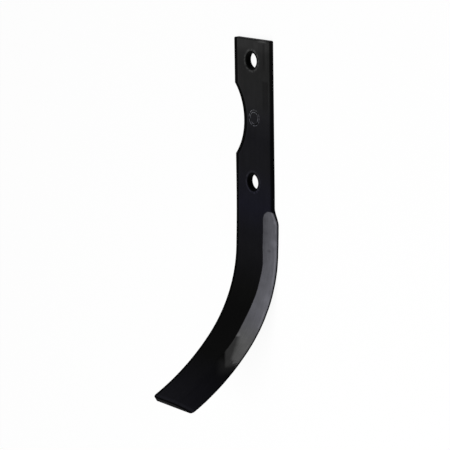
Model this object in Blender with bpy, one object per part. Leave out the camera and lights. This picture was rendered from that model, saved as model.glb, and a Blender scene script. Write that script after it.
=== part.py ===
"""Rotary tiller blade: one strip of steel, drilled, notched, bevelled and bent.

The blade is drawn as a flat strip first. ACROSS runs over its width, from the plain edge to the
cutting edge. ALONG runs down its length from the top end. DEPTH runs from its front face to its
back. The strip is then swept sideways a little and rolled up at its lower end, so that the blade
lies on its flat back with the bevelled face and the tip upward. The origin is on the back face,
halfway between the bolt holes. All sizes are in metres.
"""

import math

import bmesh
import bpy

# The strip
THICKNESS = 0.0040
WIDTH = 0.0350
EDGE_ROUND = 0.0004
TOP_CORNER_RADIUS = 0.0010
TIP_CORNER_RADIUS = 0.0025

# The two bolt holes
HOLE_DIAMETER = 0.0105
HOLE_SPACING = 0.0800
HOLE_FROM_TOP = 0.0140
HOLE_CHAMFER = 0.0003

# The notch that clears the rotor shaft
NOTCH_FROM_TOP = 0.0534
NOTCH_RADIUS = 0.0350
NOTCH_DEPTH = 0.0090
NOTCH_MOUTH_RADIUS = 0.0008

# The sideways sweep, from the lower hole on
SWEEP_RADIUS = 0.9000

# The upward roll: a tight bend, then an easier one to the tip, measured on the front face
BEND_FROM_HOLE = 0.0460
BEND_RADIUS = 0.0950
BEND_ANGLE = math.radians(38.6)
EASE_RADIUS = 0.1550
EASE_LENGTH = 0.0545

# The forged bevel along the cutting edge, whose inner line turns out to the edge in an arc at its
# upper end, below the lower hole
BEVEL_FROM_HOLE = 0.0172
BEVEL_END_RADIUS = 0.0060
BEVEL_WIDTH = 0.0120
BEVEL_WALL_SLOPE = 1.4
EDGE_LAND = 0.0013

# The bevel grows wider in the tight bend, and its inner line is crisp above and soft at the tip
BEVEL_EXTRA_WIDTH = 0.0027
WIDENING_FROM_BEND = 0.0180
WIDENING_LENGTH = 0.0340
CRISP_BLEND = 0.0008
SOFT_BLEND = 0.0120
SOFTENING_FROM_BEND = 0.0500

# The metal that the forging spreads outward, from just above the bevel on
SPREAD = 0.0040
SPREAD_LEAD = 0.0022
SPREAD_LENGTH = 0.0120

# Fineness of the faceted surface
CORNER_SEGMENTS = 4
NOTCH_STEP = math.radians(3.0)
BEND_STEP = math.radians(1.3)
SWEEP_STEP = 0.0080
SPREAD_ROWS = 8
BEVEL_END_SEGMENTS = 10
BEVEL_COLUMNS = 5
HOLE_SEGMENTS = 64
SMALLEST_ROW_GAP = 0.00002
WELD_DISTANCE = 0.000001
SMOOTH_ANGLE = math.radians(35.0)

# A rounded edge takes at most this share of the thinnest wall that it rounds
LARGEST_ROUND_SHARE = 0.4

# Satin black paint
PAINT_COLOUR = (0.012, 0.012, 0.014, 1.0)
PAINT_ROUGHNESS = 0.45
PAINT_METALLIC = 0.0

# Places along the strip, from its top end
BOLT_MIDDLE = HOLE_FROM_TOP + HOLE_SPACING / 2
LOWER_HOLE = HOLE_FROM_TOP + HOLE_SPACING
BEVEL_START = LOWER_HOLE + BEVEL_FROM_HOLE
BEVEL_END_CENTRE = BEVEL_START + BEVEL_END_RADIUS
SPREAD_START = BEVEL_START - SPREAD_LEAD
BEND_START = LOWER_HOLE + BEND_FROM_HOLE
EASE_START = BEND_START + BEND_RADIUS * BEND_ANGLE
LENGTH = EASE_START + EASE_LENGTH

ROUND = min(EDGE_ROUND, EDGE_LAND * LARGEST_ROUND_SHARE)
QUARTER_TURN = math.pi / 2


def remove_all_objects():
    """Empty the scene."""
    for thing in list(bpy.data.objects):
        bpy.data.objects.remove(thing, do_unlink=True)


def smooth_step(start, length, value):
    """Rise from 0 to 1 over a length, level at both ends."""
    share = min(max((value - start) / length, 0.0), 1.0)
    return share * share * (3.0 - 2.0 * share)


def hinge(distance, blend):
    """Stay at 0 before a line and rise with slope 1 past it, rounded over the blend."""
    reach = distance + blend / 2
    if reach <= 0.0:
        return 0.0
    if reach >= blend:
        return distance
    return reach * reach / (2 * blend)


def swept(offset, along):
    """Across position of a line that keeps its offset from the swept centre line."""
    travel = max(along - LOWER_HOLE, 0.0)
    return math.sqrt((SWEEP_RADIUS + offset) ** 2 - travel * travel) - SWEEP_RADIUS


def notch_centre():
    """Across position of the notch circle's centre, outside the plain edge."""
    return NOTCH_DEPTH - NOTCH_RADIUS - WIDTH / 2


def mouth_centre_reach():
    """Distance along the strip from the notch's middle to the centre of a mouth rounding."""
    sideways = NOTCH_MOUTH_RADIUS - WIDTH / 2 - notch_centre()
    return math.sqrt((NOTCH_RADIUS + NOTCH_MOUTH_RADIUS) ** 2 - sideways ** 2)


def mouth_angle():
    """Angle on the notch circle, from its deepest point, at which a mouth rounding begins."""
    return math.asin(mouth_centre_reach() / (NOTCH_RADIUS + NOTCH_MOUTH_RADIUS))


def plain_edge(along):
    """Across position of the plain edge, with the notch cut into it."""
    reach = abs(along - NOTCH_FROM_TOP)
    mouth_reach = mouth_centre_reach()
    if reach >= mouth_reach:
        return swept(-WIDTH / 2, along)
    if reach <= NOTCH_RADIUS * math.sin(mouth_angle()):
        return notch_centre() + math.sqrt(NOTCH_RADIUS ** 2 - reach ** 2)
    rounding = math.sqrt(NOTCH_MOUTH_RADIUS ** 2 - (mouth_reach - reach) ** 2)
    return NOTCH_MOUTH_RADIUS - WIDTH / 2 - rounding


def cutting_edge(along):
    """Across position of the cutting edge, with the metal spread by the forging."""
    return swept(WIDTH / 2 + SPREAD * smooth_step(SPREAD_START, SPREAD_LENGTH, along), along)


def bevel_width(along):
    """Width of the bevel, which grows a little toward the tip."""
    widening = smooth_step(BEND_START + WIDENING_FROM_BEND, WIDENING_LENGTH, along)
    return BEVEL_WIDTH + BEVEL_EXTRA_WIDTH * widening


def bevel_line(along):
    """Across position of the straight run of the bevel's inner line."""
    return swept(WIDTH / 2 + SPREAD - bevel_width(along), along)


def bevel_blend(along):
    """Width over which the bevel's inner line is rounded."""
    softening_start = BEND_START + SOFTENING_FROM_BEND
    softening = smooth_step(softening_start, LENGTH - softening_start, along)
    return CRISP_BLEND + (SOFT_BLEND - CRISP_BLEND) * softening


def bevel_contour(along):
    """Across position of the bevel's inner line, with the arc at its upper end."""
    to_centre = BEVEL_END_CENTRE - along
    if to_centre <= 0.0:
        return bevel_line(along)
    inside = max(BEVEL_END_RADIUS ** 2 - to_centre ** 2, 0.0)
    return bevel_line(along) + BEVEL_END_RADIUS - math.sqrt(inside)


def front_depth(across, along):
    """Depth of the front surface: 0 on the flat face, sinking over the bevel."""
    past_line = across - bevel_line(along)
    blend = bevel_blend(along)
    slope = (THICKNESS - EDGE_LAND) / bevel_width(along)
    sloped = slope * hinge(past_line, blend)
    to_centre = BEVEL_END_CENTRE - along
    if to_centre <= 0.0:
        return sloped
    short_of_arc = min(past_line - BEVEL_END_RADIUS, 0.0)
    inside = BEVEL_END_RADIUS - math.hypot(short_of_arc, to_centre)
    return min(sloped, BEVEL_WALL_SLOPE * hinge(inside, blend))


def corner_inset(inset, corner_radius, to_end):
    """Inset of an edge whose own rounding is inset, near a rounded corner of the strip."""
    if to_end >= corner_radius:
        return inset
    across_corner = (corner_radius - inset) ** 2 - (corner_radius - to_end) ** 2
    return corner_radius - math.sqrt(max(across_corner, 0.0))


def edge_rounding(along):
    """Insets and depths of a rounded edge at one section, from its side to its face."""
    to_top = along
    to_tip = LENGTH - along
    to_end = min(to_top, to_tip)
    corner_radius = TOP_CORNER_RADIUS if to_top < to_tip else TIP_CORNER_RADIUS
    widest_turn = QUARTER_TURN
    if to_end < ROUND:
        widest_turn = math.acos(1.0 - to_end / ROUND)
    steps = []
    for index in range(CORNER_SEGMENTS + 1):
        turn = widest_turn * index / CORNER_SEGMENTS
        inset = corner_inset(ROUND * (1.0 - math.cos(turn)), corner_radius, to_end)
        steps.append((inset, ROUND * (1.0 - math.sin(turn))))
    return steps


def front_columns(left, right, along):
    """Across positions of the front face's inner columns, between its rounded edges."""
    contour = bevel_contour(along)
    blend = bevel_blend(along)
    half_blend = min(blend / 2, contour - left - ROUND, right - ROUND - contour)
    columns = [left + ROUND]
    columns.extend(contour + half_blend * share for share in (-1.0, -0.5, 0.0, 0.5, 1.0))
    bevel_left = contour + half_blend
    bevel_run = right - ROUND - bevel_left
    for index in range(1, BEVEL_COLUMNS + 1):
        columns.append(bevel_left + bevel_run * index / BEVEL_COLUMNS)
    return columns


def section(along):
    """Closed ring of (across, depth) points of the strip at one place along it."""
    rounding = edge_rounding(along)
    face_inset, end_sink = rounding[-1]
    left = plain_edge(along)
    right = cutting_edge(along)
    front = [(left + inset, sink) for inset, sink in rounding]
    for across in front_columns(left + face_inset, right - face_inset, along):
        front.append((across, front_depth(across, along) + end_sink))
    for inset, sink in reversed(rounding):
        across = right - inset
        front.append((across, front_depth(across, along) + sink))
    back = [(right - inset, THICKNESS - sink) for inset, sink in rounding]
    back.append((right - face_inset - ROUND, THICKNESS - end_sink))
    back.append((left + face_inset + ROUND, THICKNESS - end_sink))
    back.extend((left + inset, THICKNESS - sink) for inset, sink in reversed(rounding))
    return front + back


def end_stations(corner_radius):
    """Distances from an end at which the corner and the edge rounding need a section."""
    stations = []
    for index in range(CORNER_SEGMENTS + 1):
        share = 1.0 - math.cos(QUARTER_TURN * index / CORNER_SEGMENTS)
        stations.append(ROUND * share)
        stations.append(corner_radius * share)
    return stations


def notch_stations():
    """Places along the strip that follow the notch and its rounded mouth."""
    widest = mouth_angle()
    count = math.ceil(widest / NOTCH_STEP)
    reaches = [NOTCH_RADIUS * math.sin(widest * index / count) for index in range(count + 1)]
    for index in range(1, CORNER_SEGMENTS + 1):
        turn = widest * (1.0 - index / CORNER_SEGMENTS)
        reaches.append(mouth_centre_reach() - NOTCH_MOUTH_RADIUS * math.sin(turn))
    return [NOTCH_FROM_TOP + side * reach for reach in reaches for side in (-1.0, 1.0)]


def bevel_end_stations():
    """Places along the strip that follow the arc at the bevel's end and the spread edge."""
    stations = []
    for index in range(BEVEL_END_SEGMENTS + 1):
        turn = QUARTER_TURN * index / BEVEL_END_SEGMENTS
        stations.append(BEVEL_START + BEVEL_END_RADIUS * (1.0 - math.cos(turn)))
    for index in range(SPREAD_ROWS + 1):
        stations.append(SPREAD_START + SPREAD_LENGTH * index / SPREAD_ROWS)
    return stations


def evenly(start, length, widest_step):
    """Places that divide a length evenly, with its start and without its end."""
    count = math.ceil(length / widest_step)
    return [start + length * index / count for index in range(count)]


def bend_stations():
    """Places along the strip that follow the upward roll."""
    tight = evenly(BEND_START, EASE_START - BEND_START, BEND_RADIUS * BEND_STEP)
    return tight + evenly(EASE_START, EASE_LENGTH, EASE_RADIUS * BEND_STEP)


def all_stations():
    """Sorted places along the strip at which it has a section, none too close together."""
    wanted = end_stations(TOP_CORNER_RADIUS)
    wanted.extend(LENGTH - distance for distance in end_stations(TIP_CORNER_RADIUS))
    wanted.extend(notch_stations())
    wanted.extend(bevel_end_stations())
    wanted.extend(bend_stations())
    wanted.extend(evenly(LOWER_HOLE, BEND_FROM_HOLE, SWEEP_STEP))
    stations = [0.0]
    for place in sorted(wanted):
        if place - stations[-1] > SMALLEST_ROW_GAP and place < LENGTH - SMALLEST_ROW_GAP:
            stations.append(place)
    stations.append(LENGTH)
    return stations


def rolled(across, along, depth):
    """Place a point of the flat strip on the rolled blade."""
    tight_turn = min(max(along - BEND_START, 0.0) / BEND_RADIUS, BEND_ANGLE)
    turn = tight_turn + max(along - EASE_START, 0.0) / EASE_RADIUS
    reach = min(along, BEND_START) + BEND_RADIUS * math.sin(tight_turn)
    reach += EASE_RADIUS * (math.sin(turn) - math.sin(tight_turn))
    rise = BEND_RADIUS * (1.0 - math.cos(tight_turn))
    rise += EASE_RADIUS * (math.cos(tight_turn) - math.cos(turn))
    y = BOLT_MIDDLE - reach - depth * math.sin(turn)
    z = THICKNESS + rise - depth * math.cos(turn)
    return (across, y, z)


def make_strip_mesh():
    """Loft the sections into one closed mesh."""
    shape = bmesh.new()
    rings = []
    for along in all_stations():
        points = section(along)
        rings.append([shape.verts.new(rolled(across, along, depth)) for across, depth in points])
    for ring, next_ring in zip(rings, rings[1:]):
        for index, corner in enumerate(ring):
            before = index - 1
            shape.faces.new((ring[before], corner, next_ring[index], next_ring[before]))
    shape.faces.new(rings[0])
    shape.faces.new(reversed(rings[-1]))
    bmesh.ops.remove_doubles(shape, verts=shape.verts[:], dist=WELD_DISTANCE)
    bmesh.ops.recalc_face_normals(shape, faces=shape.faces[:])
    mesh = bpy.data.meshes.new("tiller_blade")
    shape.to_mesh(mesh)
    shape.free()
    mesh.shade_smooth()
    mesh.set_sharp_from_angle(angle=SMOOTH_ANGLE)
    return mesh


def make_hole_cutter(name, along):
    """Turned cutter for one bolt hole, flared past both faces to chamfer the rims."""
    beyond = THICKNESS / 2
    bore = HOLE_DIAMETER / 2
    mouth = bore + HOLE_CHAMFER + beyond
    profile = [
        (0.0, -beyond),
        (mouth, -beyond),
        (bore, HOLE_CHAMFER),
        (bore, THICKNESS - HOLE_CHAMFER),
        (mouth, THICKNESS + beyond),
        (0.0, THICKNESS + beyond),
    ]
    shape = bmesh.new()
    corners = [shape.verts.new((radius, 0.0, height)) for radius, height in profile]
    lines = [shape.edges.new(pair) for pair in zip(corners, corners[1:])]
    bmesh.ops.spin(shape, geom=corners + lines, cent=(0.0, 0.0, 0.0), axis=(0.0, 0.0, 1.0),
                   angle=2 * math.pi, steps=HOLE_SEGMENTS, use_merge=True)
    bmesh.ops.remove_doubles(shape, verts=shape.verts[:], dist=WELD_DISTANCE)
    bmesh.ops.recalc_face_normals(shape, faces=shape.faces[:])
    mesh = bpy.data.meshes.new(name)
    shape.to_mesh(mesh)
    shape.free()
    cutter = bpy.data.objects.new(name, mesh)
    cutter.location = (0.0, BOLT_MIDDLE - along, 0.0)
    cutter.hide_render = True
    cutter.display_type = "WIRE"
    bpy.context.collection.objects.link(cutter)
    return cutter


def make_paint():
    """Satin black paint."""
    material = bpy.data.materials.new("black_paint")
    material.use_nodes = True
    shader = material.node_tree.nodes["Principled BSDF"]
    shader.inputs["Base Color"].default_value = PAINT_COLOUR
    shader.inputs["Roughness"].default_value = PAINT_ROUGHNESS
    shader.inputs["Metallic"].default_value = PAINT_METALLIC
    return material


def make_blade():
    """The whole blade, with its two bolt holes cut."""
    blade = bpy.data.objects.new("tiller_blade", make_strip_mesh())
    blade.data.materials.append(make_paint())
    bpy.context.collection.objects.link(blade)
    for name, along in (("upper_hole_cutter", HOLE_FROM_TOP),
                        ("lower_hole_cutter", LOWER_HOLE)):
        cut = blade.modifiers.new(name, "BOOLEAN")
        cut.operation = "DIFFERENCE"
        cut.solver = "EXACT"
        cut.object = make_hole_cutter(name, along)
    return blade


def main():
    """Build the blade in an empty scene."""
    remove_all_objects()
    make_blade()


main()
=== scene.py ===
"""Rotary tiller blade: the fine surface, its finishes, and the studio around it.

The blade is drawn as a flat blank first, in millimetres. ACROSS runs over its width, from the plain
edge to the cutting edge. ALONG runs down its length from the top end. DEPTH runs from its front face
to its back. The blank is then swept sideways a little and rolled up at its lower end.
"""

import logging
import math
from dataclasses import dataclass, field
from enum import Enum

import bmesh
import bpy
import numpy as np
from mathutils import Matrix, Quaternion, Vector


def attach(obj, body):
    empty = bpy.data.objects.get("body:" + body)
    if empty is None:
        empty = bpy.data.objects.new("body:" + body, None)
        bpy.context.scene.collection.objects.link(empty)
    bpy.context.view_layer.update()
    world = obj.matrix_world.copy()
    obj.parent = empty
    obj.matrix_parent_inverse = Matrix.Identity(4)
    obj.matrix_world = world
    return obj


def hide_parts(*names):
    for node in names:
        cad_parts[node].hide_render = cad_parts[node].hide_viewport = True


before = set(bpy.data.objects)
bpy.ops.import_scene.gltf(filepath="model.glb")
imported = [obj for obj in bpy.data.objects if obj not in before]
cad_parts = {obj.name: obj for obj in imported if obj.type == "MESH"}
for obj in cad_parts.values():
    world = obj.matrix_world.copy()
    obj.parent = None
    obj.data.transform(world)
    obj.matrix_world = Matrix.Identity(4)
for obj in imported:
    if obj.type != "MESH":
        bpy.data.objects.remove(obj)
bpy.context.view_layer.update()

LOG = logging.getLogger("tiller_blade")

MM = 0.001
NODE = "tiller_blade"
BODY = "root"
PICTURE_SIDE = 450.0
SENSOR_WIDTH = 36.0

Colour = tuple[float, float, float]


def grey(level: float, blue: float = 1.0) -> Colour:
    """Neutral colour of one level, with its blue part scaled."""
    return (level, level, level * blue)


def smooth_step(start: float, length: float, value: np.ndarray) -> np.ndarray:
    """Share that rises from 0 to 1 over a length, level at both ends."""
    share = np.clip((value - start) / length, 0.0, 1.0)
    return share * share * (3.0 - 2.0 * share)


def hinge(distance: np.ndarray, blend: np.ndarray | float) -> np.ndarray:
    """Stay at 0 before a line and rise with slope 1 past it, rounded over the blend.

    Args:
        distance: Distances past the line.
        blend: Width of the rounding.

    Returns:
        Height at each distance.
    """
    reach = distance + blend / 2
    rounded = reach * reach / (2 * blend)
    return np.where(reach <= 0.0, 0.0, np.where(reach >= blend, distance, rounded))


def evenly(start: float, end: float, widest_step: float) -> list[float]:
    """Places that divide a stretch evenly, with its start and without its end."""
    count = math.ceil((end - start) / widest_step)
    return [start + (end - start) * index / count for index in range(count)]


def nearest(places: np.ndarray, wanted: float) -> int:
    """Number of the place that is nearest to a wanted one."""
    return int(np.argmin(np.abs(places - wanted)))


@dataclass(frozen=True)
class Ripple:
    """Irregular waves, the same each run: a few plain ones that run in different directions.

    The first wave's length is a share of the typical one, and each next one's share is larger.
    """

    wavelength: float
    seed: float
    waves: int = 5
    turn_step: float = math.radians(137.5)
    first_share: float = 0.7
    share_step: float = 0.17
    seed_phase: float = 2.3
    phase_step: float = 1.7

    def height(self, across: np.ndarray, along: np.ndarray) -> np.ndarray:
        """Work out the height of the waves.

        Args:
            across: Places over the width.
            along: Places down the length.

        Returns:
            Height at each place, between about -1 and 1.
        """
        total = np.zeros_like(along)
        for index in range(self.waves):
            turn = self.seed + self.turn_step * index
            share = self.first_share + self.share_step * index
            pitch = 2 * math.pi / (self.wavelength * share)
            travel = across * math.cos(turn) + along * math.sin(turn)
            total = total + np.sin(pitch * travel + self.seed_phase * self.seed
                                   + self.phase_step * index)
        return total / self.waves


class Value:
    """Output of a node, with arithmetic that adds the Math nodes it needs."""

    def __init__(self, shop: "NodeShop", socket: bpy.types.NodeSocket) -> None:
        """Keep the socket and the shop that can add to its tree."""
        self.shop = shop
        self.socket = socket

    def __add__(self, other: "Value | float") -> "Value":
        """Sum."""
        return self.shop.math("ADD", self, other)

    def __sub__(self, other: "Value | float") -> "Value":
        """Difference."""
        return self.shop.math("SUBTRACT", self, other)

    def __rsub__(self, other: "Value | float") -> "Value":
        """Difference with this value second."""
        return self.shop.math("SUBTRACT", other, self)

    def __mul__(self, other: "Value | float") -> "Value":
        """Product."""
        return self.shop.math("MULTIPLY", self, other)

    __radd__ = __add__
    __rmul__ = __mul__


class NodeShop:
    """Adds and links the nodes of one material or of the world."""

    def __init__(self, tree: bpy.types.NodeTree) -> None:
        """Start in the given tree, emptied."""
        self.tree = tree
        tree.nodes.clear()

    def node(self, kind: str, settings: dict | None = None, inputs: dict | None = None,
             output: int | str = 0) -> Value | None:
        """Add one node.

        Args:
            kind: Blender's name for the type of node.
            settings: Properties of the node; "stops" holds a ramp's (place, colour) pairs.
            inputs: Values or links of its sockets, by name or number.
            output: Name or number of the output that is wanted.

        Returns:
            The wanted output, or None from a node that has no outputs.
        """
        made = self.tree.nodes.new(kind)
        for name, setting in (settings or {}).items():
            if name == "stops":
                self._set_stops(made.color_ramp, setting)
            else:
                setattr(made, name, setting)
        for name, value in (inputs or {}).items():
            if isinstance(value, Value):
                self.tree.links.new(value.socket, made.inputs[name])
            else:
                made.inputs[name].default_value = value
        return Value(self, made.outputs[output]) if made.outputs else None

    @staticmethod
    def _set_stops(ramp: bpy.types.ColorRamp, stops: list[tuple[float, Colour]]) -> None:
        """Give a ramp its stops.

        Args:
            ramp: Ramp of a new node.
            stops: Places and colours, in order.
        """
        while len(ramp.elements) < len(stops):
            ramp.elements.new(1.0)
        for element, (place, colour) in zip(ramp.elements, stops):
            element.position = place
            element.color = (*colour, 1.0)

    def math(self, operation: str, first: Value | float, second: Value | float = 0.0) -> Value:
        """One Math node; an operation on one value leaves out the second."""
        return self.node("ShaderNodeMath", {"operation": operation}, {0: first, 1: second})

    def larger(self, first: Value, second: Value | float) -> Value:
        """The larger of two values."""
        return self.math("MAXIMUM", first, second)

    def rise(self, value: Value, low: float, high: float) -> Value:
        """Share that rises smoothly with a value, or falls where high is below low.

        Args:
            value: The value.
            low: Value at which the share is 0.
            high: Value at which the share is 1.

        Returns:
            The share.
        """
        if high < low:
            return 1.0 - self.rise(value, high, low)
        settings = {"interpolation_type": "SMOOTHSTEP"}
        return self.node("ShaderNodeMapRange", settings,
                         {"Value": value, "From Min": low, "From Max": high})

    def background_ray(self) -> Value:
        """Tell the rays that show the background from those that only bring light.

        Returns:
            1 on rays that come straight, mirrored or through glass, and 0 on the rest.
        """
        kinds = ("Is Camera Ray", "Is Glossy Ray", "Is Transmission Ray")
        straight, mirrored, through = (self.node("ShaderNodeLightPath", output=kind)
                                       for kind in kinds)
        return self.larger(self.larger(straight, mirrored), through)

    def attribute(self, name: str) -> Value:
        """Value that the mesh carries under a name."""
        return self.node("ShaderNodeAttribute", {"attribute_name": name}, output="Fac")

    def place(self, x: Value | float, y: Value | float, z: Value | float) -> Value:
        """Vector of three values."""
        return self.node("ShaderNodeCombineXYZ", inputs={"X": x, "Y": y, "Z": z})

    def noise(self, where: Value, scale: float, detail: float = 2.0,
              roughness: float = 0.5) -> Value:
        """Noise between 0 and 1, with its middle at 0.5."""
        return self.node("ShaderNodeTexNoise", inputs={
            "Vector": where, "Scale": scale, "Detail": detail, "Roughness": roughness})

    def mix_colours(self, share: Value | float, first: Value | Colour,
                    second: Value | Colour) -> Value:
        """Colour that goes from the first to the second as the share goes from 0 to 1."""
        return self.node("ShaderNodeMix", {"data_type": "RGBA"}, {
            0: share, 6: self._full(first), 7: self._full(second)}, output=2)

    def scale_colour(self, colour: Value, factor: Value) -> Value:
        """Colour times a value."""
        return self.node("ShaderNodeVectorMath", {"operation": "SCALE"},
                         {0: colour, "Scale": factor})

    @staticmethod
    def _full(colour: Value | Colour) -> Value | tuple:
        """The colour with its alpha, where it is a plain one."""
        return colour if isinstance(colour, Value) else (*colour, 1.0)


@dataclass(frozen=True)
class Blank:
    """Flat strip that the blade is made from, with its two bolt holes."""

    thickness: float = 4.0
    width: float = 35.0
    edge_round: float = 0.4
    top_corner: float = 1.0
    tip_corner: float = 2.5
    hole_radius: float = 5.25
    hole_spacing: float = 80.0
    hole_from_top: float = 14.0
    sweep_radius: float = 900.0

    @property
    def middle(self) -> float:
        """Place halfway between the holes, which is the frame's origin."""
        return self.hole_from_top + self.hole_spacing / 2

    @property
    def lower_hole(self) -> float:
        """Place of the lower hole."""
        return self.hole_from_top + self.hole_spacing

    def swept(self, offset: np.ndarray | float, along: np.ndarray) -> np.ndarray:
        """Across position of a line that keeps its offset from the swept centre line."""
        travel = np.maximum(along - self.lower_hole, 0.0)
        return np.sqrt((self.sweep_radius + offset) ** 2 - travel * travel) - self.sweep_radius


@dataclass(frozen=True)
class Roll:
    """Upward roll of the lower end: a tight bend, then an easier one to the tip."""

    blank: Blank
    start_from_hole: float = 46.0
    radius: float = 95.0
    angle: float = math.radians(38.6)
    ease_radius: float = 155.0
    ease_length: float = 54.5

    @property
    def start(self) -> float:
        """Place where the tight bend starts."""
        return self.blank.lower_hole + self.start_from_hole

    @property
    def ease_start(self) -> float:
        """Place where the easier bend starts."""
        return self.start + self.radius * self.angle

    @property
    def length(self) -> float:
        """Length of the whole blank, on its front face."""
        return self.ease_start + self.ease_length

    def bend(self, across: np.ndarray, along: np.ndarray, depth: np.ndarray) -> np.ndarray:
        """Place points of the flat blank on the rolled blade.

        Args:
            across: Places over the width.
            along: Places down the length.
            depth: Depths under the front face.

        Returns:
            One row of x, y and z in metres for each point.
        """
        tight = np.minimum(np.maximum(along - self.start, 0.0) / self.radius, self.angle)
        turn = tight + np.maximum(along - self.ease_start, 0.0) / self.ease_radius
        reach = np.minimum(along, self.start) + self.radius * np.sin(tight)
        reach = reach + self.ease_radius * (np.sin(turn) - np.sin(tight))
        rise = self.radius * (1.0 - np.cos(tight))
        rise = rise + self.ease_radius * (np.cos(tight) - np.cos(turn))
        y = self.blank.middle - reach - depth * np.sin(turn)
        z = self.blank.thickness + rise - depth * np.cos(turn)
        return np.column_stack((across, y, z)) * MM


@dataclass(frozen=True)
class Notch:
    """Round notch in the plain edge that clears the rotor shaft."""

    blank: Blank
    from_top: float = 53.4
    radius: float = 35.0
    depth: float = 9.0
    mouth_radius: float = 0.8
    arc_step: float = math.radians(1.6)
    mouth_steps: int = 7

    @property
    def centre(self) -> float:
        """Across position of the notch circle's centre, outside the plain edge."""
        return self.depth - self.radius - self.blank.width / 2

    @property
    def mouth_reach(self) -> float:
        """Distance along the strip from the notch's middle to the centre of a mouth rounding."""
        sideways = self.mouth_radius - self.blank.width / 2 - self.centre
        return math.sqrt((self.radius + self.mouth_radius) ** 2 - sideways ** 2)

    @property
    def mouth_angle(self) -> float:
        """Angle on the notch circle, from its deepest point, at which a mouth rounding begins."""
        return math.asin(self.mouth_reach / (self.radius + self.mouth_radius))

    def plain_edge(self, along: np.ndarray) -> np.ndarray:
        """Find the plain edge, with the notch cut into it.

        Args:
            along: Places down the length.

        Returns:
            Across position of the edge at each place.
        """
        reach = np.abs(along - self.from_top)
        edge = self.blank.swept(-self.blank.width / 2, along)
        circle = self.centre + np.sqrt(np.maximum(self.radius ** 2 - reach ** 2, 0.0))
        from_mouth = np.maximum(self.mouth_radius ** 2 - (self.mouth_reach - reach) ** 2, 0.0)
        mouth = self.mouth_radius - self.blank.width / 2 - np.sqrt(from_mouth)
        within = np.where(reach <= self.radius * math.sin(self.mouth_angle), circle, mouth)
        return np.where(reach >= self.mouth_reach, edge, within)

    def rows(self) -> list[float]:
        """List the places along the strip that follow the notch and its rounded mouth.

        Returns:
            The places, unsorted.
        """
        count = math.ceil(self.mouth_angle / self.arc_step)
        reaches = [self.radius * math.sin(self.mouth_angle * index / count)
                   for index in range(count + 1)]
        for index in range(1, self.mouth_steps + 1):
            turn = self.mouth_angle * (1.0 - index / self.mouth_steps)
            reaches.append(self.mouth_reach - self.mouth_radius * math.sin(turn))
        return [self.from_top + side * reach for reach in reaches for side in (-1.0, 1.0)]


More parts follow.
